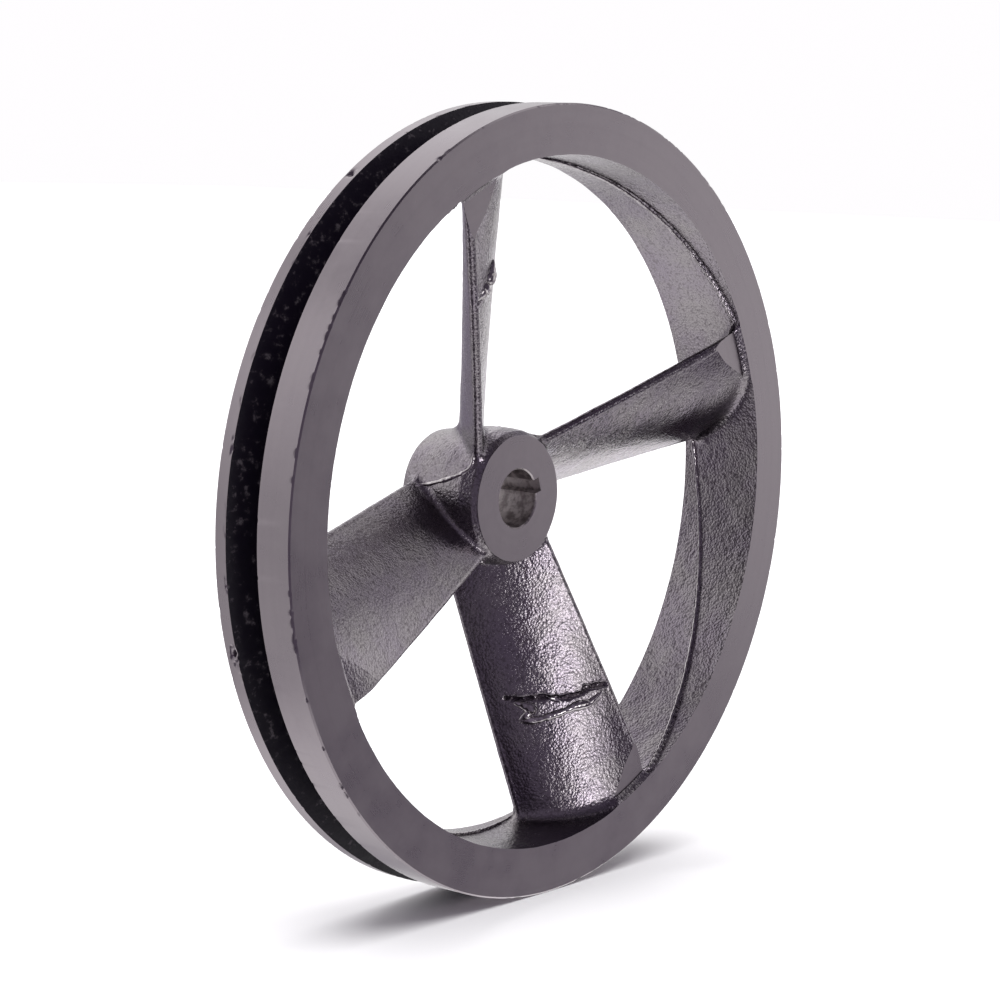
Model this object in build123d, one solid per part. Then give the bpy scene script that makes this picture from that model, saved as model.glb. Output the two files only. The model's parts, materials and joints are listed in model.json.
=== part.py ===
"""V belt pulley: one A-section groove, four fan-blade arms, keyed hub.

The wheel turns about the Y axis. Its front face looks along -Y and +Z is up. The origin is on the
bore's axis, in the middle plane of the belt groove. Angles run from +X towards +Z, so they go
anticlockwise as seen from the front.

One casting is described by its sections, which meet face to face: the rim is the two flanges and the
ring under the groove, the hub carries the bore and its keyway, and four twisted blades join them. The
foundry's parting line shows as a thin ridge from the rear edge of each blade to the front edge of the
next one, on the rim and on the hub. Two blades carry a scar where metal ran over.
"""
from build123d import *
import os
from math import cos, radians, sin, tan

# Rim, millimetres
OUTER_R = 127.0
FRONT_FACE_Y = -19.0
REAR_FACE_Y = 11.0
INNER_FRONT_R = 111.0
INNER_REAR_R = 110.0
EDGE_BREAK = 0.5

# Belt groove, A section
GROOVE_OPENING = 12.6
GROOVE_ANGLE = 38.0
GROOVE_DEPTH = 11.5

# Hub
BORE_R = 9.525
BORE_BREAK = 0.4
HUB_FRONT_Y = -0.5
HUB_REAR_Y = 33.2
HUB_FACE_R = 20.5
HUB_BELLY_R = 22.5
HUB_BELLY_Y = 6.0
HUB_REAR_R = 20.0
HUB_REAR_ROUND = 3.0
KEYWAY_WIDTH = 4.76
KEYWAY_TOP_R = 11.74
KEYWAY_ANGLE = 20.0

# Fan blades: each value is given where the blade leaves the hub and where it meets the rim
BLADE_COUNT = 4
FIRST_BLADE_ANGLE = 19.0
ROOT_RADIUS = 20.5
TIP_RADIUS = 111.0
BLADE_OFFSET = (0.8, -2.6)
BLADE_CENTRE_Y = (13.95, -7.3)
BLADE_CHORD = (31.7, 45.3)
BLADE_PITCH = (46.5, 30.2)
BLADE_FRONT_CROWN = (1.4, 6.0)
BLADE_BACK_CROWN = (1.7, 2.8)
BLADE_EDGE_R = 1.7
BLADE_STATIONS = (14.0, 38.0, 63.0, 89.0, 116.0)
BLADE_FACING_Y = -17.0

# Parting-line ridges: (angle from the blade's axis, y) along the rim and along the hub
RIDGE_R = 0.8
RIM_RIDGE = ((-13.0, 8.0), (-28.0, 3.0), (-45.0, -4.0), (-63.0, -11.4), (-78.5, -17.4))
HUB_RIDGE = ((-27.0, 25.0), (-34.0, 14.5), (-41.5, 7.0), (-50.0, 3.8), (-58.0, 3.0))

# Scars on the front of two blades: (radius, place across the chord from 0 at the front edge to 1)
SCAR_R = 1.1
ACROSS_SCAR = ((74.5, 0.06), (76.3, 0.20), (75.5, 0.33), (76.1, 0.49), (76.4, 0.66), (75.8, 0.82))
EDGE_SCAR = ((74.0, 0.02), (75.5, 0.14), (78.0, 0.28), (82.5, 0.34))
SCARRED_BLADES = {"casting_scar_across": (3, ACROSS_SCAR), "casting_scar_edge": (1, EDGE_SCAR)}

WEB_REACH_Y = 45.0


def turned(shape, angle):
    """The shape turned about the wheel's axis, anticlockwise as seen from the front."""
    return Rot(0, -angle, 0) * shape


def revolved(*edges):
    """The ring that a closed outline of (radius, y) edges sweeps about the wheel's axis."""
    return revolve(make_face(Curve() + [*edges]), Axis.Y)


def ring(*corners):
    """A ring with a straight-sided section."""
    return revolved(*Polyline(*corners, close=True).edges())


def inner_radius(y):
    """Radius of the rim's drafted inner surface at y."""
    along = (y - FRONT_FACE_Y) / (REAR_FACE_Y - FRONT_FACE_Y)
    return INNER_FRONT_R + along * (INNER_REAR_R - INNER_FRONT_R)


def blended(pair, radius):
    """A blade value at a radius, in a straight line from its root value to its tip value."""
    along = (radius - ROOT_RADIUS) / (TIP_RADIUS - ROOT_RADIUS)
    return pair[0] + along * (pair[1] - pair[0])


# ---- Rim ----

def groove_half_width(radius):
    """Half the groove's width at a radius."""
    return GROOVE_OPENING / 2 - (OUTER_R - radius) * tan(radians(GROOVE_ANGLE / 2))


def flange(face_y, groove_side):
    """One side of the rim, from its outer face to the groove's sloping wall."""
    floor_r = OUTER_R - GROOVE_DEPTH
    wall_top = groove_side * groove_half_width(OUTER_R)
    wall_foot = groove_side * groove_half_width(floor_r)
    return ring(
        (inner_radius(face_y), face_y),
        (OUTER_R - EDGE_BREAK, face_y),
        (OUTER_R, face_y - groove_side * EDGE_BREAK),
        (OUTER_R, wall_top),
        (floor_r, wall_foot),
        (inner_radius(wall_foot), wall_foot),
    )


def groove_floor():
    """The ring between the two flanges, under the belt."""
    floor_r = OUTER_R - GROOVE_DEPTH
    half = groove_half_width(floor_r)
    return ring((inner_radius(-half), -half), (floor_r, -half), (floor_r, half), (inner_radius(half), half))


def space_inside_rim(front_y):
    """Everything within the rim's inner surface from front_y, carried on behind the rim past the blades."""
    return ring((0, front_y), (inner_radius(front_y), front_y), (inner_radius(WEB_REACH_Y), WEB_REACH_Y),
                (0, WEB_REACH_Y))


# ---- Hub ----

def hub_envelope():
    """The barrel with no bore: fullest just behind its machined face, rounded at the rear."""
    rear_turn = HUB_REAR_Y - HUB_REAR_ROUND
    round_centre = HUB_REAR_R - HUB_REAR_ROUND
    side = Spline((HUB_FACE_R, HUB_FRONT_Y), (HUB_BELLY_R, HUB_BELLY_Y), (HUB_REAR_R, rear_turn),
                  tangents=((0.6, 1.0), (0.0, 1.0)))
    corner = CenterArc((round_centre, rear_turn), HUB_REAR_ROUND, 0, 90)
    ends = Polyline((round_centre, HUB_REAR_Y), (0, HUB_REAR_Y), (0, HUB_FRONT_Y), (HUB_FACE_R, HUB_FRONT_Y))
    return revolved(side, corner, *ends.edges())


def hub_barrel(envelope):
    """The hub with its bore, the bore's broken edges and the keyway."""
    mouth_r = BORE_R + BORE_BREAK
    bore = ring((0, HUB_FRONT_Y), (mouth_r, HUB_FRONT_Y), (BORE_R, HUB_FRONT_Y + BORE_BREAK),
                (BORE_R, HUB_REAR_Y - BORE_BREAK), (mouth_r, HUB_REAR_Y), (0, HUB_REAR_Y))
    length = HUB_REAR_Y - HUB_FRONT_Y
    slot = Pos(KEYWAY_TOP_R / 2, HUB_FRONT_Y + length / 2, 0) * Box(KEYWAY_TOP_R, length, KEYWAY_WIDTH)
    return envelope - bore - turned(slot, KEYWAY_ANGLE)


# ---- Blades, drawn with their axis along +X ----

def section_plane(radius):
    """Plane across the blade: local X from front edge to rear edge, local Y out of the front side."""
    pitch = radians(blended(BLADE_PITCH, radius))
    centre = (radius, blended(BLADE_CENTRE_Y, radius), blended(BLADE_OFFSET, radius))
    return Plane(origin=centre, x_dir=(0, sin(pitch), -cos(pitch)), z_dir=(-1, 0, 0))


def blade_section(radius):
    """Lens-shaped section with rounded edges."""
    half = blended(BLADE_CHORD, radius) / 2
    edge = BLADE_EDGE_R
    front_crown = blended(BLADE_FRONT_CROWN, radius) + edge
    back_crown = blended(BLADE_BACK_CROWN, radius) + edge
    outline = Curve() + [
        ThreePointArc((-half, edge), (0, front_crown), (half, edge)),
        ThreePointArc((half, edge), (half + edge, 0), (half, -edge)),
        ThreePointArc((half, -edge), (0, -back_crown), (-half, -edge)),
        ThreePointArc((-half, -edge), (-half - edge, 0), (-half, edge)),
    ]
    return section_plane(radius) * make_face(outline)


def front_of_blade(radius, across):
    """A point on the blade's crowned front side."""
    crown = blended(BLADE_FRONT_CROWN, radius) * 4 * across * (1 - across) + BLADE_EDGE_R
    return section_plane(radius).from_local_coords(((across - 0.5) * blended(BLADE_CHORD, radius), crown))


def fan_blade(envelope):
    """One twisted blade, cut to the rim's inner surface and to the hub, and faced off near the rim."""
    whole = loft([blade_section(radius) for radius in BLADE_STATIONS])
    return whole & space_inside_rim(BLADE_FACING_Y) - envelope


# ---- Ridges and scars ----

def bead(points, radius):
    """A round bead laid along a smooth line through the points."""
    path = Spline(*points)
    return sweep(Plane(origin=path @ 0, z_dir=path % 0) * Circle(radius), path)


def on_rim(angle, y):
    """A point on the rim's inner surface."""
    r = inner_radius(y)
    return (r * cos(radians(angle)), y, r * sin(radians(angle)))


def on_hub(angle, y, envelope):
    """A point on the hub's barrel, found where a line out from the axis leaves it."""
    out = Vector(cos(radians(angle)), 0, sin(radians(angle)))
    ray = Edge.make_line((0, y, 0), Vector(0, y, 0) + out * OUTER_R)
    inside = (Curve() + ray) & envelope
    return Vector(0, y, 0) + out * inside.edges()[0].length


def main():
    os.makedirs("parts", exist_ok=True)
    envelope = hub_envelope()
    room = space_inside_rim(FRONT_FACE_Y)
    blade = fan_blade(envelope)
    step = 360 / BLADE_COUNT
    next_blade = turned(blade, -step)

    rim_ridge = bead([on_rim(angle, y) for angle, y in RIM_RIDGE], RIDGE_R) & room
    hub_ridge = bead([on_hub(angle, y, envelope) for angle, y in HUB_RIDGE], RIDGE_R) - envelope

    nodes = {
        "front_flange": flange(FRONT_FACE_Y, -1),
        "groove_floor_ring": groove_floor(),
        "rear_flange": flange(REAR_FACE_Y, 1),
        "hub_barrel": hub_barrel(envelope),
    }
    for index in range(BLADE_COUNT):
        angle = FIRST_BLADE_ANGLE + index * step
        nodes[f"fan_blade_{index + 1}"] = turned(blade, angle)
        nodes[f"rim_parting_ridge_{index + 1}"] = turned(rim_ridge - blade - next_blade, angle)
        nodes[f"hub_parting_ridge_{index + 1}"] = turned(hub_ridge - blade - next_blade, angle)
    for name, (index, line) in SCARRED_BLADES.items():
        scar = bead([front_of_blade(*place) for place in line], SCAR_R) - blade
        nodes[name] = turned(scar, FIRST_BLADE_ANGLE + index * step)

    for name, shape in nodes.items():
        export_step(shape, f"parts/{name}.step")


main()
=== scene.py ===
import json
from math import cos, pi, radians, sin

import bmesh
import bpy
import numpy as np
from mathutils import Matrix, Vector
from mathutils.bvhtree import BVHTree

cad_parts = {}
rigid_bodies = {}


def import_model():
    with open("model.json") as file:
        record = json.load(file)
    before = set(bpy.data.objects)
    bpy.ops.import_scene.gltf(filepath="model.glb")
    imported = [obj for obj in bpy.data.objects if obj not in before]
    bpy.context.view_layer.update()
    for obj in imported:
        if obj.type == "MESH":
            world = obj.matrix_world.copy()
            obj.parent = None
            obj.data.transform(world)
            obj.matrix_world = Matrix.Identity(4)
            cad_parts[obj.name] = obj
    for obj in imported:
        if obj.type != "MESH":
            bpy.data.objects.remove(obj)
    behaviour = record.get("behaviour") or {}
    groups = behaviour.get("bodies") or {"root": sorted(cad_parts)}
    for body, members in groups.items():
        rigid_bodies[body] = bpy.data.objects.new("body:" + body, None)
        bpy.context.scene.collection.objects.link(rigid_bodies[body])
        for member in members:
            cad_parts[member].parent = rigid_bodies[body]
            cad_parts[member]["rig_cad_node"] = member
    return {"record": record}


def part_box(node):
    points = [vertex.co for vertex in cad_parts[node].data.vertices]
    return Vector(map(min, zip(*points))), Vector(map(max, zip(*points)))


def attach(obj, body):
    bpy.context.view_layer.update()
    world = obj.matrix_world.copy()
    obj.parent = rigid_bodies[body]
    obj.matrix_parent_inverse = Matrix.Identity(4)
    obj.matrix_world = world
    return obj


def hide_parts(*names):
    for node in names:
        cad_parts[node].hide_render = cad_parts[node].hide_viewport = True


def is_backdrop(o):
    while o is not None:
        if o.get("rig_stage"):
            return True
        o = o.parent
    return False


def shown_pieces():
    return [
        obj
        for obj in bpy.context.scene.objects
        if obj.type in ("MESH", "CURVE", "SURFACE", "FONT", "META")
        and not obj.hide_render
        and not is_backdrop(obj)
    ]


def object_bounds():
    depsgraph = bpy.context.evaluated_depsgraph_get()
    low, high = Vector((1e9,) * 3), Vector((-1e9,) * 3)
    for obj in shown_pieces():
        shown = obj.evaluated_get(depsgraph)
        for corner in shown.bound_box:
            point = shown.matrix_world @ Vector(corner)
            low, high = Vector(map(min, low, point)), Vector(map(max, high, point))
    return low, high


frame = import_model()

CAD_BOX = [list(corner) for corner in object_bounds()]
MM = 0.001

# Sizes below are in millimetres, in the row frame: Y is the wheel's axis, -Y is the front, and angles run
# from +X towards +Z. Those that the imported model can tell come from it.


def cad_box(node):
    """Lowest and highest corner of a CAD node, in millimetres."""
    return [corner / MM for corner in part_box(node)]


FRONT_Y = cad_box("front_flange")[0].y
REAR_Y = cad_box("rear_flange")[1].y
OUTER_R = cad_box("front_flange")[1].x
FLOOR_R = cad_box("groove_floor_ring")[1].x
FLOOR_HALF = cad_box("groove_floor_ring")[1].y
MOUTH_HALF = 6.3
INNER_FRONT_R = 111.0
INNER_REAR_R = 110.0

HUB_FRONT_Y = cad_box("hub_barrel")[0].y
HUB_REAR_Y = cad_box("hub_barrel")[1].y
HUB_PROFILE = ((-0.5, 20.5), (1.5, 21.8), (6.0, 22.5), (14.0, 22.2), (22.0, 21.3), (30.0, 20.1), (36.0, 19.2))
HUB_REAR_ROUND = 3.0
HUB_ZONE_YS = (HUB_FRONT_Y, 3.0, 8.0, 15.0, 24.0, HUB_REAR_Y)
BORE_R = next(m["dims"]["r_mm"] for m in frame["record"]["mounts"] if m["name"] == "bore")
BORE_BREAK = 0.4
KEYWAY_WIDTH = 4.76
KEYWAY_TOP_R = 11.74
KEYWAY_ANGLE = 20.0
KEYWAY_CUT = (15.0, 60.0)           # middle and length along Y of what the keyway is cut with

# Blades, each value at the hub and at the rim, as in the CAD
FIRST_BLADE = 19.0
BLADE_COUNT = 4
ROOT_R = 20.5
TIP_R = 111.0
BLADE_OFFSET = (0.8, -2.6)
BLADE_CENTRE_Y = (13.95, -7.3)
BLADE_CHORD = (31.7, 45.3)
BLADE_PITCH = (46.5, 30.2)
BLADE_FRONT_CROWN = (1.4, 6.0)
BLADE_BACK_CROWN = (1.7, 2.8)
BLADE_EDGE_R = 1.7
BLADE_FACING_Y = -17.0

RIM_BLEND = 4.0
HUB_BLEND = 3.0

# Parting line, as in the CAD: (angle from the blade's axis, y) on the rim and on the hub
RIM_RIDGE = ((-13.0, 8.0), (-28.0, 3.0), (-45.0, -4.0), (-63.0, -11.4), (-78.5, -17.4))
HUB_RIDGE = ((-27.0, 25.0), (-34.0, 14.5), (-41.5, 7.0), (-50.0, 3.8), (-58.0, 3.0))
DRAFT = 0.022
STEP_WIDTH = 0.5
RIM_RIDGE_R = 0.45
HUB_RIDGE_R = 0.6
RIM_RIDGE_POINTS = 330
HUB_RIDGE_POINTS = 110

# Scars on the front of two blades: (radius, place across the chord from 0 at the front edge to 1)
ACROSS_SCAR = ((74.5, 0.06), (76.3, 0.20), (75.5, 0.33), (76.1, 0.49), (76.4, 0.66), (75.8, 0.82))
ACROSS_TONGUE = ((75.3, 0.81), (74.4, 0.74), (72.6, 0.68), (70.8, 0.74), (69.2, 0.82))
ACROSS_RIB = ((70.3, 0.52), (71.4, 0.47), (72.6, 0.42))
ACROSS_CREVICE = ((67.6, 0.86), (68.6, 0.74), (69.1, 0.62), (69.5, 0.54), (71.3, 0.42), (71.7, 0.31),
                  (71.9, 0.22), (71.0, 0.17), (71.5, 0.10), (72.6, 0.0))
EDGE_SCAR = ((74.0, 0.02), (75.5, 0.14), (78.0, 0.28), (82.5, 0.34))
EDGE_CREVICE = ((73.2, 0.0), (74.6, 0.16), (76.6, 0.33))
ACROSS_SCAR_R = 1.25
ACROSS_TONGUE_R = 1.8
ACROSS_RIB_R = 0.95
EDGE_SCAR_R = 2.2
CREVICE_DEPTH = 1.5
CREVICE_R = 0.85
MEAN_CHORD = 40                     # turns a place across the chord into millimetres, to space points evenly
SCAR_SPACING = 0.45
CREVICE_SPACING = 0.35

# A bead's section: corners round it, how much wider it is than high, how far it sinks into the skin (as a
# share of its radius), and how many points it takes to reach its full size at each end
BEAD_CORNERS = 14
BEAD_WIDTH = 1.25
BEAD_SINK = 0.15
BEAD_TAPER = 12

# Turned edges, and the chips at the groove: (angle, y, reach along the edge, depth)
EDGE_BREAK = 0.5
EDGE_RING = 1.2
LAND_RINGS = (EDGE_BREAK, 1.0, 1.8)
REAR_LAND_STEP = 0.4
NICK_DEPTH = 0.5
CHIPS = ((197.2, 7.2, 2.2, 1.6), (125.6, 8.6, 1.4, 0.9))
CHIP_REACH_Y = 1.3

# How the casting is made and cut: grid step, steps in a turn, metal left for turning and for clean cuts
GRID = 0.45
TURNS = 1440
QUARTER = 90.0
FACE_STOCK = 0.7
HUB_FACE_STOCK = 0.8
BLADE_FACE_STOCK = 0.15
RIM_MARGIN = 2.4
HUB_MARGIN = 1.0
BLADE_REAR_MARGIN = 0.3
CORE_R = 112.5
CORE_AXIS_R = 0.5
CORE_PAST = 20
FAR = 50
FIRST_BLADE_SPACE = (0, -32, 72)    # lowest x, lowest z and highest z that the first blade reaches
SHARP_ANGLE = 38

# Sand grain: (height, size of the lumps, place in the noise)
SAND_LUMPS = ((0.09, 7.0, 0.0), (0.040, 2.1, 31.7), (0.028, 1.15, 12.3))


# ---------------------------------------------------------------- casting as a distance field

def smoothed(places, values, at):
    """A smooth line through a few points."""
    return np.polyval(np.polyfit(places, values, len(places) - 1), at)


def parting_y(angle):
    """Where the parting line crosses the rim, at an angle in degrees."""
    past = -np.mod(FIRST_BLADE - angle, QUARTER)
    places, values = zip(*RIM_RIDGE)
    line = smoothed(places, values, np.clip(past, places[-1], places[0]))
    behind_blade = np.mod(past - places[0], QUARTER) / (QUARTER + places[-1] - places[0])
    back = values[0] + (values[-1] - values[0]) * np.clip(behind_blade, 0, 1)
    return np.where((past > places[0]) | (past < places[-1]), back, line)


def rim_radius(y, parting=None):
    """Radius of the rim's inner surface.

    Given the parting line, its two halves are drafted both ways and meet there in a small step.
    """
    if parting is None:
        return INNER_FRONT_R + (y - FRONT_Y) / (REAR_Y - FRONT_Y) * (INNER_REAR_R - INNER_FRONT_R)
    front_half = INNER_FRONT_R - DRAFT * (y - FRONT_Y)
    rear_half = INNER_REAR_R - DRAFT * (REAR_Y - y)
    share = np.clip((y - parting) / STEP_WIDTH + 0.5, 0, 1)
    return front_half + share * share * (3 - 2 * share) * (rear_half - front_half)


def hub_radius(y):
    """Radius of the hub's barrel."""
    places, radii = zip(*HUB_PROFILE)
    return np.interp(y, places, radii).astype(np.float32)


def merged(a, b, blend):
    """Union of two fields with a fillet where they meet."""
    near = np.maximum(blend - np.abs(a - b), 0) / blend
    return np.minimum(a, b) - near * near * blend / 4


def blade_field(x, y, z):
    """Distance to the first blade: a crowned lens section with round edges, twisted along its axis."""
    turn = radians(FIRST_BLADE)
    out = x * cos(turn) + z * sin(turn)
    side = z * cos(turn) - x * sin(turn)
    along = np.clip((out - ROOT_R) / (TIP_R - ROOT_R), -0.15, 1.1)

    def at(pair):
        return pair[0] + along * (pair[1] - pair[0])

    pitch = np.radians(at(BLADE_PITCH))
    across = (y - at(BLADE_CENTRE_Y)) * np.sin(pitch) - (side - at(BLADE_OFFSET)) * np.cos(pitch)
    depth = -(y - at(BLADE_CENTRE_Y)) * np.cos(pitch) - (side - at(BLADE_OFFSET)) * np.sin(pitch)
    half_chord = at(BLADE_CHORD) / 2
    fullness = np.clip(1 - (across / half_chord) ** 2, 0, None)
    middle = (at(BLADE_FRONT_CROWN) - at(BLADE_BACK_CROWN)) / 2 * fullness
    half = (at(BLADE_FRONT_CROWN) + at(BLADE_BACK_CROWN)) / 2 * fullness
    from_skin = np.abs(depth - middle) - half
    past_edge = np.maximum(np.abs(across) - half_chord, 0)
    distance = np.where(past_edge > 0, np.hypot(past_edge, depth), from_skin) - BLADE_EDGE_R
    ends = np.maximum(BLADE_FACING_Y - BLADE_FACE_STOCK - y, y - HUB_REAR_Y + HUB_REAR_ROUND / 2)
    return np.maximum(np.maximum(distance, 10 - out), ends).astype(np.float32)


def casting_field(axis_x, axis_y):
    """The whole casting inside the rim, on a grid. Its two axes are those of X (and Z) and of Y."""
    x, y, z = np.meshgrid(axis_x, axis_y, axis_x, indexing="ij", sparse=True)
    one = np.full((len(axis_x), len(axis_y), len(axis_x)), FAR, np.float32)
    first_x, first_z, last_z = np.searchsorted(axis_x, FIRST_BLADE_SPACE)
    one[first_x:, :, first_z:last_z] = blade_field(x[first_x:], y, z[:, :, first_z:last_z])
    blades = one
    for _ in range(BLADE_COUNT - 1):
        one = np.rot90(one, axes=(2, 0))
        blades = np.minimum(blades, one)
    radius = np.hypot(x, z)
    parting = parting_y(np.degrees(np.arctan2(z, x))).astype(np.float32)
    past_faces = np.abs(y - (FRONT_Y + REAR_Y) / 2) - (REAR_Y - FRONT_Y) / 2 - FACE_STOCK
    rim = np.maximum(rim_radius(y, parting) - radius, past_faces)
    round_y = HUB_REAR_Y - HUB_REAR_ROUND
    round_r = hub_radius(round_y) - HUB_REAR_ROUND
    barrel = np.where(y > round_y, np.hypot(np.maximum(radius - round_r, 0), y - round_y) - HUB_REAR_ROUND,
                      radius - hub_radius(y))
    hub = np.maximum(barrel, HUB_FRONT_Y - HUB_FACE_STOCK - y)
    solid = merged(merged(blades, rim.astype(np.float32), RIM_BLEND), hub.astype(np.float32), HUB_BLEND)
    return np.maximum(solid, radius - CORE_R - FACE_STOCK)


def surface_net(field, low, step):
    """Vertices and quads of the field's zero surface, one vertex in each cell that it crosses."""
    count = field.shape
    stride = (count[1] * count[2], count[2], 1)
    inside = field < 0
    flat = field.ravel()
    points, cells, quads = [], [], []
    for axis in range(3):
        b, c = (axis + 1) % 3, (axis + 2) % 3
        start, end = [slice(None)] * 3, [slice(None)] * 3
        start[axis], end[axis] = slice(0, -1), slice(1, None)
        at = np.argwhere(inside[tuple(start)] != inside[tuple(end)])
        index = at @ np.array(stride)
        here, there = flat[index], flat[index + stride[axis]]
        crossing = at.astype(np.float64)
        crossing[:, axis] += here / (here - there)
        around = index[:, None] - np.array([stride[b] + stride[c], stride[c], 0, stride[b]])
        points.append(np.repeat(crossing, 4, 0))
        cells.append(around.ravel())
        quads.append(np.where((here < 0)[:, None], around, around[:, ::-1]))
    used, place = np.unique(np.concatenate(cells), return_inverse=True)
    points = np.concatenate(points)
    share = np.bincount(place)
    vertices = np.stack([np.bincount(place, weights=points[:, k]) / share for k in range(3)], 1)
    return vertices * step + low, np.searchsorted(used, np.concatenate(quads))


# ---------------------------------------------------------------- noise

LATTICE = 64
RANDOM = np.random.default_rng(7).uniform(-1, 1, (LATTICE,) * 3)


def lumps(points, size):
    """Smooth noise from -1 to 1 with lumps about size across."""
    scaled = points / size
    base = np.floor(scaled).astype(int)
    part = scaled - base
    part = part * part * (3 - 2 * part)
    total = np.zeros(len(points))
    for corner in np.ndindex(2, 2, 2):
        weight = np.prod([part[:, k] if corner[k] else 1 - part[:, k] for k in range(3)], axis=0)
        cell = (base + corner) % LATTICE
        total += weight * RANDOM[cell[:, 0], cell[:, 1], cell[:, 2]]
    return total


def front_of_blade(index, radius, across):
    """A point on the front of a blade, and the way that its front side faces."""
    along = (radius - ROOT_R) / (TIP_R - ROOT_R)

    def at(pair):
        return pair[0] + along * (pair[1] - pair[0])

    pitch = radians(at(BLADE_PITCH))
    chord = np.array((0, sin(pitch), -cos(pitch)))
    facing = np.array((0, -cos(pitch), -sin(pitch)))
    crown = at(BLADE_FRONT_CROWN) * 4 * across * (1 - across) + BLADE_EDGE_R
    point = np.array((radius, at(BLADE_CENTRE_Y), at(BLADE_OFFSET))) + chord * (across - 0.5) * at(BLADE_CHORD)
    turn = radians(FIRST_BLADE + index * QUARTER)
    about = np.array(((cos(turn), 0, -sin(turn)), (0, 1, 0), (sin(turn), 0, cos(turn))))
    return about @ (point + facing * crown), about @ facing


def close_points(line, spacing):
    """Points closely spaced along straight runs between the given ones."""
    line = np.asarray(line, float)
    runs = np.linalg.norm(np.diff(line, axis=0), axis=1)
    places = np.concatenate(((0,), np.cumsum(runs)))
    at = np.arange(0, places[-1], spacing)
    return np.stack([np.interp(at, places, line[:, k]) for k in range(line.shape[1])], 1)


def sand_skin(points):
    """How far the sand-cast skin stands out or in, in millimetres."""
    height = sum(tall * lumps(points + place, size) for tall, size, place in SAND_LUMPS)
    for index, line in ((3, ACROSS_CREVICE), (1, EDGE_CREVICE)):
        spots = close_points([front_of_blade(index, *place)[0] for place in line], CREVICE_SPACING)
        near = np.flatnonzero(np.all((points > spots.min(0) - 3) & (points < spots.max(0) + 3), axis=1))
        apart = np.min([np.linalg.norm(points[near] - spot, axis=1) for spot in spots], axis=0)
        ragged = 0.75 + 0.45 * lumps(points[near], 1.7)
        height[near] -= CREVICE_DEPTH * np.exp(-(apart / (CREVICE_R * ragged)) ** 2)
    return height


# ---------------------------------------------------------------- meshes

def add(name, mesh):
    """A new object in the scene, from a mesh, a camera or a lamp."""
    piece = bpy.data.objects.new(name, mesh)
    bpy.context.scene.collection.objects.link(piece)
    return piece


def mesh_of(name, vertices, faces):
    """A mesh object from arrays of points in millimetres and of faces with equal corner counts."""
    mesh = bpy.data.meshes.new(name)
    mesh.vertices.add(len(vertices))
    mesh.vertices.foreach_set("co", (vertices * MM).astype(np.float32).ravel())
    mesh.loops.add(faces.size)
    mesh.loops.foreach_set("vertex_index", faces.astype(np.int32).ravel())
    mesh.polygons.add(len(faces))
    mesh.polygons.foreach_set("loop_start", np.arange(0, faces.size, faces.shape[1], dtype=np.int32))
    mesh.update(calc_edges=True)
    return add(name, mesh)


def edge_wear(points):
    """The points of a turned ring with small nicks along its outer edges and the chips at the groove."""
    radius = np.hypot(points[:, 0], points[:, 2])
    angle = np.degrees(np.arctan2(points[:, 2], points[:, 0]))
    from_edge = np.min([np.abs(points[:, 1] - y) for y in (FRONT_Y, REAR_Y, -MOUTH_HALF, MOUTH_HALF)], axis=0)
    on_edge = (radius > OUTER_R - EDGE_BREAK - 0.01) & (from_edge < EDGE_BREAK + 0.01)
    sunk = on_edge * np.clip(lumps(points, 1.4) + 0.5 * lumps(points + 5.5, 6.0) - 0.45, 0, 1) * NICK_DEPTH
    for chip_angle, chip_y, reach, depth in CHIPS:
        along = OUTER_R * np.radians((angle - chip_angle + 180) % 360 - 180)
        apart = np.hypot(along / reach, (points[:, 1] - chip_y) / CHIP_REACH_Y)
        broken = np.clip(0.6 + 1.3 * lumps(points, 1.1), 0, 1.6)
        sunk += (radius > OUTER_R - 1) * depth * np.exp(-apart ** 2) * broken
    return points * np.where(np.arange(3) == 1, 1, (1 - sunk / np.maximum(radius, 1))[:, None])


def lathed(name, profile, turns=TURNS, start=0.0, end=360.0, wear=None):
    """A closed ring, or a sector of one, from a closed outline of (radius, y) points."""
    whole = end - start >= 360
    steps = turns if whole else turns + 1
    angle = np.radians(start + (end - start) * np.arange(steps) / turns)
    outline = np.array(profile, float)
    corners = len(outline)
    spun = np.stack([outline[None, :, 0] * np.cos(angle)[:, None],
                     np.broadcast_to(outline[None, :, 1], (steps, corners)),
                     outline[None, :, 0] * np.sin(angle)[:, None]], -1).reshape(-1, 3)
    if wear:
        spun = wear(spun)
    shell = bmesh.new()
    made = [shell.verts.new(point * MM) for point in spun]
    for i in range(turns):
        near, far = i * corners, (i + 1) % steps * corners
        for j in range(corners):
            k = (j + 1) % corners
            shell.faces.new((made[near + j], made[near + k], made[far + k], made[far + j]))
    if not whole:
        shell.faces.new(made[:corners])
        shell.faces.new(made[-corners:])
    bmesh.ops.recalc_face_normals(shell, faces=shell.faces)
    mesh = bpy.data.meshes.new(name)
    shell.to_mesh(mesh)
    shell.free()
    return add(name, mesh)


def cut(name, base, tool, operation, keep_base=False, keep_tool=True):
    """A new object from a boolean of two closed ones."""
    modifier = base.modifiers.new("cut", "BOOLEAN")
    modifier.operation = operation
    modifier.solver = "MANIFOLD"
    modifier.object = tool
    graph = bpy.context.evaluated_depsgraph_get()
    mesh = bpy.data.meshes.new_from_object(base.evaluated_get(graph))
    base.modifiers.remove(modifier)
    for old, kept in ((base, keep_base), (tool, keep_tool)):
        if not kept:
            bpy.data.objects.remove(old)
    mesh.name = name
    if not mesh.polygons:
        raise RuntimeError(f"{name} came out empty")
    return add(name, mesh)


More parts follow.
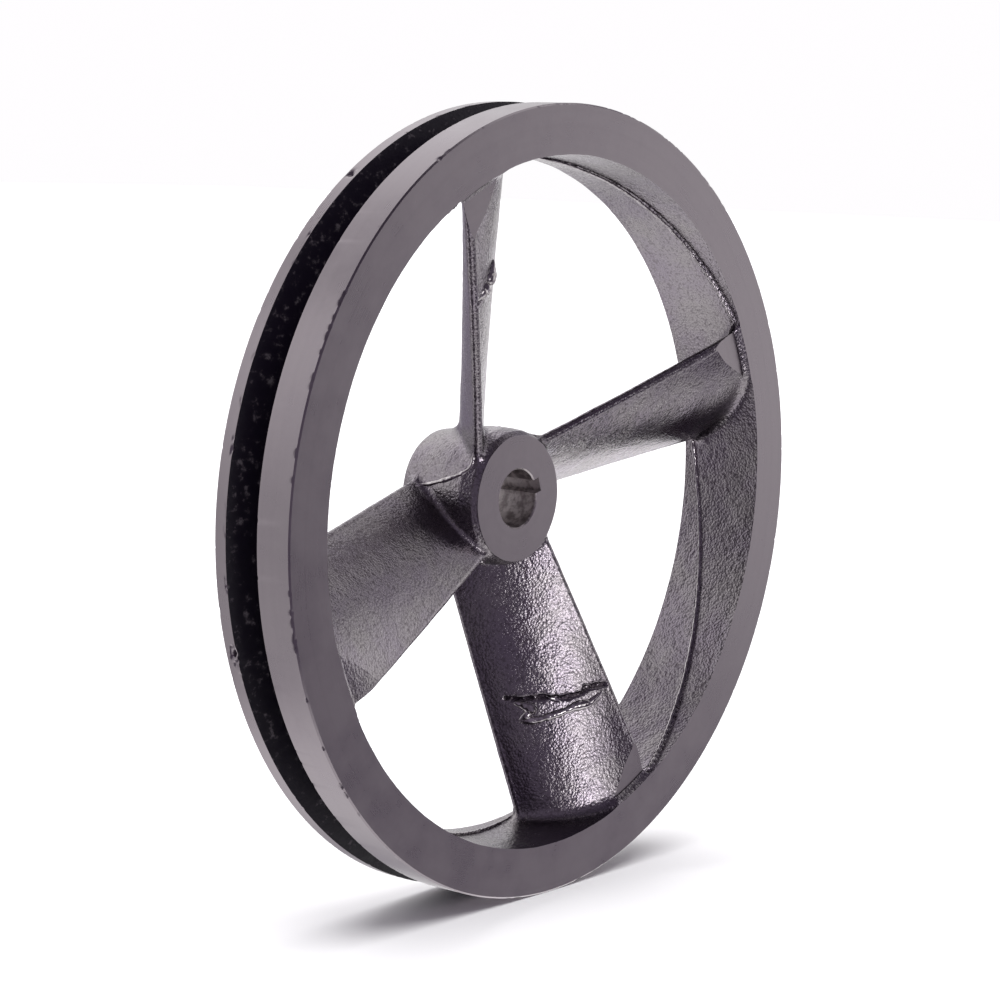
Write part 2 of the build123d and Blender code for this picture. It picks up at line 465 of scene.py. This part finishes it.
def casting():
    """The casting's rough skin as one closed mesh, from which the pieces are cut."""
    reach = np.ceil((CORE_R + 2) / GRID) * GRID
    axis_x = np.arange(-reach, reach + GRID / 2, GRID, dtype=np.float32)
    axis_y = np.arange(FRONT_Y - 2, HUB_REAR_Y + 3, GRID, dtype=np.float32)
    low = np.array((axis_x[0], axis_y[0], axis_x[0]))
    vertices, faces = surface_net(casting_field(axis_x, axis_y), low, GRID)
    piece = mesh_of("casting", vertices, faces)
    normals = np.empty(len(vertices) * 3, np.float32)
    piece.data.vertex_normals.foreach_get("vector", normals)
    moved = vertices + normals.reshape(-1, 3) * sand_skin(vertices)[:, None]
    piece.data.vertices.foreach_set("co", (moved * MM).astype(np.float32).ravel())
    piece.data.update()
    return piece


# ---------------------------------------------------------------- pieces

def finished(piece, *nodes):
    """Lets a new piece stand for CAD nodes."""
    piece.data.set_sharp_from_angle(angle=radians(SHARP_ANGLE))
    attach(piece, "root")
    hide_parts(*nodes)
    return piece


def machined_ring(name, profile, hollow):
    """A ring with turned outside faces, whose inner side is the casting's skin."""
    blank = lathed(name + "_blank", profile, wear=edge_wear)
    return finished(cut(name + "_cast", blank, hollow, "DIFFERENCE"), name)


def rings(skin):
    """The three rings of the rim. What they are hollowed with is the space that the casting leaves."""
    front, rear = FRONT_Y - CORE_PAST, HUB_REAR_Y + CORE_PAST
    core = lathed("core", ((CORE_AXIS_R, front), (CORE_R, front), (CORE_R, rear), (CORE_AXIS_R, rear)))
    hollow = cut("hollow", core, skin, "DIFFERENCE")

    def inner(y):
        """A corner inside the skin, where the hollow cuts the ring."""
        return rim_radius(y) - RIM_MARGIN, y

    rear_land = [(OUTER_R, float(y)) for y in np.arange(MOUTH_HALF, REAR_Y - EDGE_BREAK, REAR_LAND_STEP)]
    machined_ring("front_flange", (
        inner(FRONT_Y), (OUTER_R - EDGE_RING, FRONT_Y), (OUTER_R - EDGE_BREAK, FRONT_Y),
        *[(OUTER_R, FRONT_Y + past) for past in LAND_RINGS],
        (OUTER_R, -MOUTH_HALF - EDGE_RING), (OUTER_R, -MOUTH_HALF),
        (FLOOR_R, -FLOOR_HALF), inner(-FLOOR_HALF)), hollow)
    machined_ring("groove_floor_ring", (
        inner(-FLOOR_HALF), (FLOOR_R, -FLOOR_HALF), (FLOOR_R, FLOOR_HALF), inner(FLOOR_HALF)), hollow)
    machined_ring("rear_flange", (
        inner(FLOOR_HALF), (FLOOR_R, FLOOR_HALF), *rear_land, (OUTER_R, REAR_Y - EDGE_BREAK),
        (OUTER_R - EDGE_BREAK, REAR_Y), (OUTER_R - EDGE_RING, REAR_Y), inner(REAR_Y)), hollow)


def hub(skin):
    """The hub's barrel, bored and with its keyway."""
    mouth = BORE_R + BORE_BREAK
    reach = [(float(hub_radius(y)) + HUB_MARGIN, y) for y in HUB_ZONE_YS]
    zone = lathed("hub_zone", ((mouth, HUB_FRONT_Y), *reach, (mouth, HUB_REAR_Y),
                               (BORE_R, HUB_REAR_Y - BORE_BREAK), (BORE_R, HUB_FRONT_Y + BORE_BREAK)), 360)
    barrel = cut("hub_whole", zone, skin, "INTERSECT")
    slot_mesh = bmesh.new()
    bmesh.ops.create_cube(slot_mesh, size=1)
    middle_y, length = KEYWAY_CUT
    turn = Matrix.Rotation(-radians(KEYWAY_ANGLE), 4, "Y")
    out = Matrix.Translation((KEYWAY_TOP_R / 2 * MM, middle_y * MM, 0))
    size = Matrix.Diagonal((KEYWAY_TOP_R * MM, length * MM, KEYWAY_WIDTH * MM, 1))
    bmesh.ops.transform(slot_mesh, matrix=turn @ out @ size, verts=slot_mesh.verts)
    mesh = bpy.data.meshes.new("keyway_tool")
    slot_mesh.to_mesh(mesh)
    slot_mesh.free()
    slot = add("keyway_tool", mesh)
    return finished(cut("hub_barrel_cast", barrel, slot, "DIFFERENCE", keep_tool=False), "hub_barrel")


def bead(name, centres, ups, radius):
    """A rough closed bead of metal along a line of points on the skin, thinning out at both ends."""
    centres, ups = np.array(centres), np.array(ups)
    along = np.gradient(centres, axis=0)
    along /= np.linalg.norm(along, axis=1)[:, None]
    side = np.cross(along, ups)
    side /= np.linalg.norm(side, axis=1)[:, None]
    share = np.linspace(0, 1, len(centres))
    taper = np.sqrt(np.clip(np.minimum(share, 1 - share) * len(centres) / BEAD_TAPER, 0.02, 1))
    size = radius * taper * (0.95 + 0.30 * lumps(centres, 2.6) + 0.12 * lumps(centres + 9.1, 0.9))
    corners = BEAD_CORNERS
    angle = 2 * pi * np.arange(corners) / corners
    section = (BEAD_WIDTH * side[:, None] * np.cos(angle)[:, None]
               + ups[:, None] * (np.sin(angle)[:, None] - BEAD_SINK))
    ring = (centres[:, None] + size[:, None, None] * section).reshape(-1, 3)
    ring += ups.repeat(corners, 0) * (0.06 * lumps(ring + 4.4, 0.8))[:, None]
    shell = bmesh.new()
    made = [shell.verts.new(point * MM) for point in ring]
    for i in range(len(centres) - 1):
        for j in range(corners):
            k = (j + 1) % corners
            a, b = i * corners, (i + 1) * corners
            shell.faces.new((made[a + j], made[a + k], made[b + k], made[b + j]))
    shell.faces.new(made[:corners])
    shell.faces.new(made[-corners:])
    bmesh.ops.recalc_face_normals(shell, faces=shell.faces)
    mesh = bpy.data.meshes.new(name)
    shell.to_mesh(mesh)
    shell.free()
    return add(name, mesh)


def touched(tree, start, way):
    """Where a line from a point first meets the casting's skin, in millimetres."""
    hit = tree.ray_cast(Vector(start) * MM, Vector(way))[0]
    return np.array(hit) / MM


def ridges(tree):
    """The parting line's ridge on the rim and on the hub, in each gap between blades."""
    rim_places, _ = zip(*RIM_RIDGE)
    hub_places, hub_ys = zip(*HUB_RIDGE)
    for index in range(BLADE_COUNT):
        turn = FIRST_BLADE + index * QUARTER
        centres, ups = [], []
        for angle in turn + np.linspace(rim_places[0] + 2, rim_places[-1] - 1, RIM_RIDGE_POINTS):
            out = np.array((cos(radians(angle)), 0, sin(radians(angle))))
            y = np.array((0, float(parting_y(angle)) + STEP_WIDTH / 2, 0))
            centres.append(touched(tree, out * (INNER_REAR_R - 5) + y, out))
            ups.append(-out)
        name = f"rim_parting_ridge_{index + 1}"
        finished(bead(name + "_cast", centres, ups, RIM_RIDGE_R), name)
        centres, ups = [], []
        for past in np.linspace(hub_places[0], hub_places[-1], HUB_RIDGE_POINTS):
            out = np.array((cos(radians(turn + past)), 0, sin(radians(turn + past))))
            y = np.array((0, float(smoothed(hub_places, hub_ys, past)), 0))
            centres.append(touched(tree, y, out))
            ups.append(out)
        name = f"hub_parting_ridge_{index + 1}"
        finished(bead(name + "_cast", centres, ups, HUB_RIDGE_R), name)


def scar(tree, name, index, *lines):
    """Beads of metal that ran over on the front of a blade, joined into one piece."""
    whole = None
    for line, radius in lines:
        centres, ups = [], []
        for place in close_points([(r, a * MEAN_CHORD) for r, a in line], SCAR_SPACING):
            point, facing = front_of_blade(index, place[0], place[1] / MEAN_CHORD)
            centres.append(touched(tree, point + facing * 4, -facing))
            ups.append(facing)
        one = bead(name + "_cast", centres, ups, radius)
        whole = one if whole is None else cut(name + "_cast", whole, one, "UNION", keep_tool=False)
    finished(whole, name)


def blades(skin):
    """The four blades, each what the casting has in its quarter between the rim's rings and the hub."""
    heights = (BLADE_FACING_Y, 0.0, HUB_REAR_Y - BLADE_REAR_MARGIN)
    outer = [(rim_radius(y) - RIM_MARGIN, y) for y in heights]
    inner = [(float(hub_radius(y)) + HUB_MARGIN, y) for y in (heights[-1], *HUB_ZONE_YS[-2::-1])]
    inner.append((inner[-1][0], BLADE_FACING_Y))
    for index in range(BLADE_COUNT):
        middle = FIRST_BLADE + index * QUARTER
        zone = lathed("blade_zone", (*outer, *inner), 90, middle - QUARTER / 2, middle + QUARTER / 2)
        name = f"fan_blade_{index + 1}"
        finished(cut(name + "_cast", zone, skin, "INTERSECT"), name)


# ---------------------------------------------------------------- camera

# Solved from the rim's circles in the photo: angles in degrees, and how far the camera stands back from the
# rim's front circle, to the left and up, as multiples of the outside radius
CAMERA_AZIMUTH, CAMERA_ELEVATION, CAMERA_ROLL = -51.2176, 7.2961, 1.8882
CAMERA_BACK, CAMERA_LEFT, CAMERA_UP = 6.8479, 0.1597, 0.0062
SENSOR_WIDTH = 36
FOCAL_LENGTH = 98.03


def camera():
    """The camera at the photo's angle."""
    az, el, roll = radians(CAMERA_AZIMUTH), radians(CAMERA_ELEVATION), radians(CAMERA_ROLL)
    back = Vector((sin(az) * cos(el), -cos(az) * cos(el), sin(el)))
    level = (-back).cross(Vector((0, 0, 1))).normalized()
    upright = level.cross(-back)
    right = level * cos(roll) + upright * sin(roll)
    up = upright * cos(roll) - level * sin(roll)
    away = back * CAMERA_BACK - level * CAMERA_LEFT + upright * CAMERA_UP
    place = away * OUTER_R * MM + Vector((0, FRONT_Y * MM, 0))
    lens = bpy.data.cameras.new("camera")
    lens.sensor_width = SENSOR_WIDTH
    lens.lens = FOCAL_LENGTH
    holder = add("camera", lens)
    holder.matrix_world = Matrix([(right[k], up[k], back[k], place[k]) for k in range(3)] + [(0, 0, 0, 1)])
    bpy.context.scene.camera = holder


# ---------------------------------------------------------------- materials

COLOUR_RESULT = 2


class Look:
    """A material's or world's node tree, with short calls to add and join nodes."""

    def __init__(self, holder):
        holder.use_nodes = True
        self.tree = holder.node_tree

    def node(self, kind, inputs=(), **settings):
        """Adds a node. An input's value may be a number, a tuple, or another node's output."""
        made = self.tree.nodes.new(kind)
        for name, value in settings.items():
            setattr(made, name, value)
        for key, value in dict(inputs).items():
            if isinstance(value, bpy.types.NodeSocket):
                self.tree.links.new(value, made.inputs[key])
            else:
                made.inputs[key].default_value = value
        return made.outputs[COLOUR_RESULT if settings.get("data_type") == "RGBA" else 0]

    def math(self, operation, first, second=0.0, clamp=False):
        """The result of a sum on two values."""
        return self.node("ShaderNodeMath", {0: first, 1: second}, operation=operation, use_clamp=clamp)

    def noise(self, place, size, detail=2.0, rough=0.5, stretch=None):
        """Noise whose lumps are about size millimetres across."""
        if stretch:
            place = self.node("ShaderNodeMapping", {"Vector": place, "Scale": stretch})
        return self.node("ShaderNodeTexNoise", {"Vector": place, "Scale": 1 / (size * MM), "Detail": detail,
                                                "Roughness": rough})

    def grains(self, place, size):
        """Round grains about size millimetres across."""
        inputs = {"Vector": place, "Scale": 1 / (size * MM), "Smoothness": 0.35}
        return self.node("ShaderNodeTexVoronoi", inputs, feature="SMOOTH_F1")

    def ramp(self, value, low, high, start=0.0, end=1.0):
        """Maps low..high smoothly to start..end."""
        inputs = {"Value": value, "From Min": low, "From Max": high, "To Min": start, "To Max": end}
        return self.node("ShaderNodeMapRange", inputs, interpolation_type="SMOOTHSTEP")

    def tint(self, share, first, second):
        """A colour between two."""
        return self.node("ShaderNodeMix", {0: share, 6: (*first, 1) if isinstance(first, tuple) else first,
                                           7: (*second, 1) if isinstance(second, tuple) else second},
                         data_type="RGBA")


def object_place(look):
    """Coordinates in the row frame, in metres."""
    made = look.tree.nodes.new("ShaderNodeTexCoord")
    return made.outputs["Object"]


def turned_place(look, place):
    """(radius, y) coordinates, in which a tool mark is the same all round the wheel."""
    split = look.tree.nodes.new("ShaderNodeSeparateXYZ")
    look.tree.links.new(place, split.inputs[0])
    square = look.math("ADD", look.math("MULTIPLY", split.outputs[0], split.outputs[0]),
                       look.math("MULTIPLY", split.outputs[2], split.outputs[2]))
    radius = look.math("SQRT", square)
    return look.node("ShaderNodeCombineXYZ", {0: radius, 1: split.outputs[1]})


def new_material(name):
    """A new material, the calls that add to its nodes, and its surface node."""
    material = bpy.data.materials.new(name)
    look = Look(material)
    surface = look.tree.nodes["Principled BSDF"]
    return material, look, surface


def joined(look, surface, values):
    """Gives the surface's inputs their values, which may be other nodes' outputs."""
    for key, value in values.items():
        if isinstance(value, bpy.types.NodeSocket):
            look.tree.links.new(value, surface.inputs[key])
        else:
            surface.inputs[key].default_value = value


def cast_iron():
    """Glossy dark skin over sand-cast grain, with painted shade in the grain's hollows and a painted glint on
    its crests.
    """
    material, look, surface = new_material("cast_iron_skin")
    place = object_place(look)
    grain = look.grains(place, 0.85)
    fine = look.noise(place, 0.45, 2.0, 0.6)
    broad = look.noise(place, 4.0, 2.0)
    height = look.math("ADD", look.math("MULTIPLY", grain, -1.2), look.math("MULTIPLY", fine, 0.8))
    height = look.math("ADD", height, look.math("MULTIPLY", broad, 0.8))
    bump = look.node("ShaderNodeBump", {"Strength": 1.0, "Distance": 0.085 * MM, "Height": height})
    patches = look.noise(place, 16.0, 3.0, 0.6)
    colour = look.tint(look.ramp(patches, 0.3, 0.7), (0.215, 0.190, 0.220), (0.262, 0.243, 0.250))
    # Painted shade: darker colour in the hollows between the grains, where the bump sinks.
    colour = look.tint(look.ramp(grain, 0.5, 0.85, 0.0, 0.7), colour, (0.12, 0.105, 0.115))
    # Painted glint: lighter colour on the crests of the fine noise, where the bump rises.
    crest_glint = look.ramp(fine, 0.60, 0.70)
    colour = look.tint(look.math("MULTIPLY", crest_glint, 0.6), colour, (0.42, 0.40, 0.40))
    rough = look.math("ADD", look.ramp(patches, 0.3, 0.7, 0.16, 0.24), look.math("MULTIPLY", fine, 0.08))
    joined(look, surface, {"Base Color": colour, "Metallic": 1.0, "Roughness": rough, "Normal": bump})
    return material


def machined_iron():
    """Turned faces: fine rings, faint stains and pits."""
    material, look, surface = new_material("turned_iron")
    place = object_place(look)
    round_place = turned_place(look, place)
    rings_fine = look.noise(round_place, 0.35, 2.0)
    rings_wide = look.noise(round_place, 2.2, 3.0)
    stain = look.noise(place, 14.0, 4.0, 0.6)
    speck = look.ramp(look.noise(place, 1.3, 2.0), 0.70, 0.78)
    height = look.math("ADD", look.math("MULTIPLY", rings_fine, 0.5), look.math("MULTIPLY", rings_wide, 0.6))
    height = look.math("SUBTRACT", height, look.math("MULTIPLY", speck, 0.8))
    bump = look.node("ShaderNodeBump", {"Strength": 0.5, "Distance": 0.03 * MM, "Height": height})
    colour = look.tint(look.ramp(stain, 0.3, 0.7), (0.245, 0.218, 0.236), (0.285, 0.256, 0.272))
    colour = look.tint(look.math("MULTIPLY", rings_wide, 0.25), colour, (0.19, 0.168, 0.182))
    rough = look.math("ADD", look.ramp(stain, 0.3, 0.7, 0.24, 0.30), look.math("MULTIPLY", rings_fine, 0.06))
    joined(look, surface, {"Base Color": colour, "Metallic": 1.0, "Roughness": rough, "Normal": bump})
    return material


def groove_iron():
    """The groove's walls and floor: near black, a painted shade for the deep groove, with lighter patches of
    dust.
    """
    material, look, surface = new_material("groove_painted_shade")
    place = object_place(look)
    dust = look.noise(place, 3.0, 4.0, 0.65)
    fine = look.noise(place, 0.7, 2.0)
    # Painted shade: near-black colour for the shade deep in the groove; the lighter patches are dust.
    colour = look.tint(look.ramp(dust, 0.55, 0.70), (0.006, 0.004, 0.009), (0.07, 0.06, 0.07))
    bump = look.node("ShaderNodeBump", {"Strength": 0.6, "Distance": 0.15 * MM,
                                        "Height": look.math("ADD", dust, look.math("MULTIPLY", fine, 0.4))})
    rough = look.ramp(dust, 0.3, 0.7, 0.35, 0.6)
    joined(look, surface, {"Base Color": colour, "Metallic": 0.0, "Roughness": rough, "Normal": bump,
                           "Specular IOR Level": 0.25})
    return material


def bore_iron():
    """The bore: bored once, then blotched by oil and rust stains."""
    material, look, surface = new_material("bore_iron")
    place = object_place(look)
    blotch = look.noise(place, 3.2, 4.0, 0.6)
    fine = look.noise(place, 0.7, 2.0)
    colour = look.tint(look.ramp(blotch, 0.38, 0.62), (0.28, 0.25, 0.255), (0.62, 0.58, 0.58))
    bump = look.node("ShaderNodeBump", {"Strength": 0.6, "Distance": 0.05 * MM,
                                        "Height": look.math("ADD", blotch, look.math("MULTIPLY", fine, 0.5))})
    rough = look.ramp(blotch, 0.3, 0.7, 0.42, 0.55)
    joined(look, surface, {"Base Color": colour, "Metallic": 1.0, "Roughness": rough, "Normal": bump})
    return material


def scar_iron():
    """Metal that ran over and froze smooth."""
    material, look, surface = new_material("scar_iron")
    place = object_place(look)
    folds = look.noise(place, 1.8, 3.0)
    colour = look.tint(look.ramp(folds, 0.35, 0.65), (0.28, 0.26, 0.265), (0.50, 0.47, 0.48))
    bump = look.node("ShaderNodeBump", {"Strength": 0.7, "Distance": 0.12 * MM, "Height": folds})
    rough = look.ramp(folds, 0.3, 0.7, 0.12, 0.20)
    joined(look, surface, {"Base Color": colour, "Metallic": 1.0, "Roughness": rough, "Normal": bump})
    return material


def floor_white():
    """A plain pale floor."""
    material, look, surface = new_material("floor_white")
    place = object_place(look)
    colour = look.tint(look.noise(place, 300.0, 2.0), (0.93, 0.93, 0.93), (0.96, 0.96, 0.96))
    joined(look, surface, {"Base Color": colour, "Roughness": 0.9})
    return material


def assign(piece, choices, pick):
    """Gives the piece its materials, and each face the one that pick says from its centre and normal."""
    mesh = piece.data
    mesh.materials.clear()
    for material in choices:
        mesh.materials.append(material)
    centres = np.empty(len(mesh.polygons) * 3, np.float32)
    normals = np.empty(len(mesh.polygons) * 3, np.float32)
    mesh.polygons.foreach_get("center", centres)
    mesh.polygons.foreach_get("normal", normals)
    index = pick(centres.reshape(-1, 3) / MM, normals.reshape(-1, 3)).astype(np.int32)
    mesh.polygons.foreach_set("material_index", index)
    shell = bmesh.new()
    shell.from_mesh(mesh)
    for edge in shell.edges:
        if len({face.material_index for face in edge.link_faces}) > 1:
            edge.smooth = False
    shell.to_mesh(mesh)
    shell.free()


CAST, MACHINED, GROOVE, BORE, SCAR = range(5)
ROUGH_BLADE = "fan_blade_3_cast"    # its flat by the rim shows grain in the photo; the other blades' are smooth


def on_plane(centres, normals, *heights):
    """Whether each face lies flat at one of the given heights along Y."""
    level = np.any([np.abs(centres[:, 1] - y) < 0.05 for y in heights], axis=0)
    return (np.abs(normals[:, 1]) > 0.99) & level


def ring_faces(centres, normals):
    """Rough inside, near black with painted shade in the groove, turned elsewhere."""
    radius = np.hypot(centres[:, 0], centres[:, 2])
    below_land = (radius > FLOOR_R - 1) & (radius < OUTER_R - 0.05)
    in_groove = (np.abs(centres[:, 1]) < MOUTH_HALF - 0.01) & below_land
    inside = (radius < CORE_R) & ~on_plane(centres, normals, FRONT_Y, REAR_Y)
    return np.where(in_groove, GROOVE, np.where(inside, CAST, MACHINED))


def hub_faces(centres, normals):
    """Turned end faces and bore, rough barrel."""
    radius = np.hypot(centres[:, 0], centres[:, 2])
    ends = on_plane(centres, normals, HUB_FRONT_Y, HUB_REAR_Y)
    return np.where(ends, MACHINED, np.where(radius < KEYWAY_TOP_R + 0.6, BORE, CAST))


def blade_faces(centres, normals):
    """Rough all over but where the facing cut took the front edge."""
    return np.where((centres[:, 1] < BLADE_FACING_Y + 0.02) & (normals[:, 1] < -0.99), MACHINED, CAST)


def rough_faces(centres, normals):
    """Rough all over."""
    return np.full(len(centres), CAST)


def scar_faces(centres, normals):
    """Smooth all over, for metal that ran over and for the parting line's ridges."""
    return np.full(len(centres), SCAR)


# ---------------------------------------------------------------- studio

# Soft boxes round the object: azimuth in degrees from the front towards the right, its half width and the
# width of its soft edge, then the sine of the elevation with the same two, then the power
SOFT_BOXES = (
    (-13, 5, 6, -0.15, 0.08, 0.09, 9.5),
    (4, 6, 6, -0.02, 0.12, 0.15, 2.3),
    (79, 19, 20, 0.03, 0.15, 0.17, 1.24),
    (75, 20, 25, -0.55, 0.14, 0.20, 0.85),
    (100, 12, 12, -0.62, 0.12, 0.12, 0.6),
    (112, 20, 12, -0.35, 0.12, 0.20, 0.90),
    (160, 25, 20, 0.50, 0.20, 0.30, 0.75),
    (150, 12, 12, 0.62, 0.12, 0.12, 0.70),
    (-165, 20, 20, 0.40, 0.20, 0.30, 0.70),
    (-138, 9, 9, 0.0, 0.60, 0.30, 0.75),
    (90, 130, 30, -0.85, 0.10, 0.15, 1.20),
    (60, 14, 14, 0.40, 0.05, 0.13, 0.85),
    (85, 20, 20, 0.77, 0.10, 0.14, 1.1),
    (150, 35, 20, -0.35, 0.30, 0.20, 0.23),
    (-165, 20, 20, -0.35, 0.30, 0.20, 0.25),
    (110, 20, 15, 0.15, 0.20, 0.20, 0.50),
    (-60, 40, 20, 0.0, 0.50, 0.30, 0.12),
)
AMBIENT = 0.12
LAMP_SPREAD = 70
LAMP_ENERGY = 3.6
FLOOR_SIZE = 10
SURROUND_COLOUR = (0.95, 0.80, 1.10)
LIGHT_COLOUR = (1.0, 0.985, 1.0)


def soft_box(look, azimuth, height, box):
    """Light from one soft-edged window of directions."""
    middle, half, soft, level, half_level, soft_level, power = box
    turn = look.math("SUBTRACT", azimuth, radians(middle))
    turn = look.node("ShaderNodeMath", {0: turn, 1: pi, 2: -pi}, operation="WRAP")
    beside = look.ramp(look.math("ABSOLUTE", turn), radians(half + soft), radians(half))
    above = look.math("ABSOLUTE", look.math("SUBTRACT", height, level))
    return look.math("MULTIPLY", beside, look.ramp(above, half_level + soft_level, half_level, 0.0, power))


def studio():
    """Soft boxes in a dim surround; what the camera sees directly is white."""
    world = bpy.data.worlds.new("studio")
    bpy.context.scene.world = world
    look = Look(world)
    split = look.tree.nodes.new("ShaderNodeSeparateXYZ")
    look.tree.links.new(look.tree.nodes.new("ShaderNodeTexCoord").outputs["Generated"], split.inputs[0])
    azimuth = look.math("ARCTAN2", split.outputs[0], look.math("MULTIPLY", split.outputs[1], -1))
    total = AMBIENT
    for box in SOFT_BOXES:
        total = look.math("ADD", total, soft_box(look, azimuth, split.outputs[2], box))
    seen = look.tree.nodes.new("ShaderNodeLightPath").outputs["Is Camera Ray"]
    strength = look.node("ShaderNodeMix", {0: seen, 2: total, 3: 1.0})
    background = look.tree.nodes["Background"]
    colour = look.tint(look.ramp(strength, AMBIENT, 0.8), SURROUND_COLOUR, LIGHT_COLOUR)
    look.tree.links.new(colour, background.inputs["Color"])
    look.tree.links.new(strength, background.inputs["Strength"])

    lamp = bpy.data.lights.new("overhead", "SUN")
    lamp.angle = radians(LAMP_SPREAD)
    lamp.energy = LAMP_ENERGY
    holder = add("overhead", lamp)
    holder.visible_glossy = False

    sheet = bmesh.new()
    bmesh.ops.create_grid(sheet, x_segments=1, y_segments=1, size=FLOOR_SIZE)
    floor_mesh = bpy.data.meshes.new("floor")
    sheet.to_mesh(floor_mesh)
    sheet.free()
    floor_mesh.materials.append(floor_white())
    floor = add("floor", floor_mesh)
    floor.location = (0, 0, CAD_BOX[0][2])
    floor.visible_glossy = False
    floor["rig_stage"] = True


SCRATCH = ("casting", "core", "hollow", "blade_zone", "hub_zone", "hub_whole", "keyway_tool")

skin = casting()
tree = BVHTree.FromObject(skin, bpy.context.evaluated_depsgraph_get())
rings(skin)
hub(skin)
blades(skin)
ridges(tree)
scar(tree, "casting_scar_across", 3,
     (ACROSS_SCAR, ACROSS_SCAR_R), (ACROSS_TONGUE, ACROSS_TONGUE_R), (ACROSS_RIB, ACROSS_RIB_R))
scar(tree, "casting_scar_edge", 1, (EDGE_SCAR, EDGE_SCAR_R))
for o in list(bpy.context.scene.objects):
    if o.name.split(".")[0] in SCRATCH or o.name.endswith("_blank"):
        bpy.data.objects.remove(o)

camera()
studio()
looks = (cast_iron(), machined_iron(), groove_iron(), bore_iron(), scar_iron())
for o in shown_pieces():
    if "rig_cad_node" in o:
        continue
    if o.name.startswith("fan"):
        assign(o, looks, rough_faces if o.name == ROUGH_BLADE else blade_faces)
    elif o.name.startswith("hub_barrel"):
        assign(o, looks, hub_faces)
    elif "ridge" in o.name or "scar" in o.name:
        assign(o, looks, scar_faces)
    else:
        assign(o, looks, ring_faces)
bpy.context.scene.view_settings.view_transform = "Standard"
